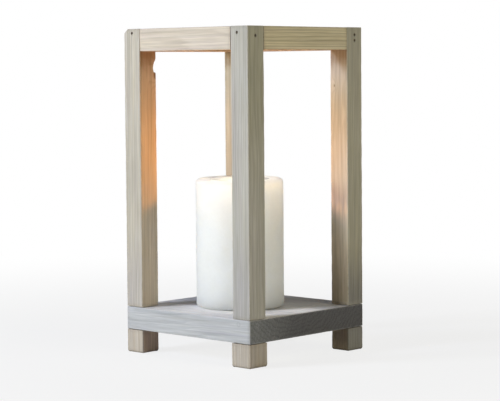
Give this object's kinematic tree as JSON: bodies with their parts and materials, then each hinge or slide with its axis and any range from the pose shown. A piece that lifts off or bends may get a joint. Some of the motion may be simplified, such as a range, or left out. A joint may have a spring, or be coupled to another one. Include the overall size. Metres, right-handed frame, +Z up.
{
  "type": "wooden candle lantern",
  "caption": "Open square wooden lantern: corner posts and top rails on a plank with block feet, holding a loose pillar candle that lifts out through the open top.",
  "frame": {"origin": "on the ground, under the middle of the plank's footprint", "axes": "+Z up, -Y the front face between the front posts, +X the right-hand face"},
  "size_m": [0.135, 0.132, 0.257],
  "materials": {
    "post_wood": "pale weathered softwood, thin whitewash, matt",
    "rail_wood": "warm pale softwood with wavy flat-sawn grain, matt",
    "base_wood": "blue-grey weathered plank, darker on its end grain, matt",
    "foot_wood": "pinkish beige softwood, matt",
    "brad_steel": "dark oxidised steel wire",
    "screw_steel": "yellow zinc plated steel",
    "wax": "ivory wax, satin, translucent",
    "wick_cotton": "braided cotton, charred above the wax",
    "tab_tin": "plain tinned sheet"
  },
  "bodies": {
    "frame": {"base_board": "base_wood", "brad_back_left": "brad_steel", "brad_back_right_lower": "brad_steel", "brad_back_right_upper": "brad_steel", "brad_front_left": "brad_steel", "brad_front_right": "brad_steel", "brad_left_back": "brad_steel", "brad_left_front": "brad_steel", "brad_right_back": "brad_steel", "brad_right_front": "brad_steel", "foot_back_left": "foot_wood", "foot_back_right": "foot_wood", "foot_front_left": "foot_wood", "foot_front_right": "foot_wood", "post_back_left": "post_wood", "post_back_right": "post_wood", "post_front_left": "post_wood", "post_front_right": "post_wood", "rail_back": "rail_wood", "rail_front": "rail_wood", "rail_left": "rail_wood", "rail_right": "rail_wood", "screw_back_left": "screw_steel", "screw_back_right": "screw_steel", "screw_front_left": "screw_steel", "screw_front_right": "screw_steel"},
    "candle": {"candle_wax": "wax", "wick": "wick_cotton", "wick_tab": "tab_tin"}
  },
  "joints": [
    {"name": "candle_lift", "type": "slide", "parent": "frame", "child": "candle", "axis": [0, 0, 1], "range_m": [0, 0.225]}
  ]
}
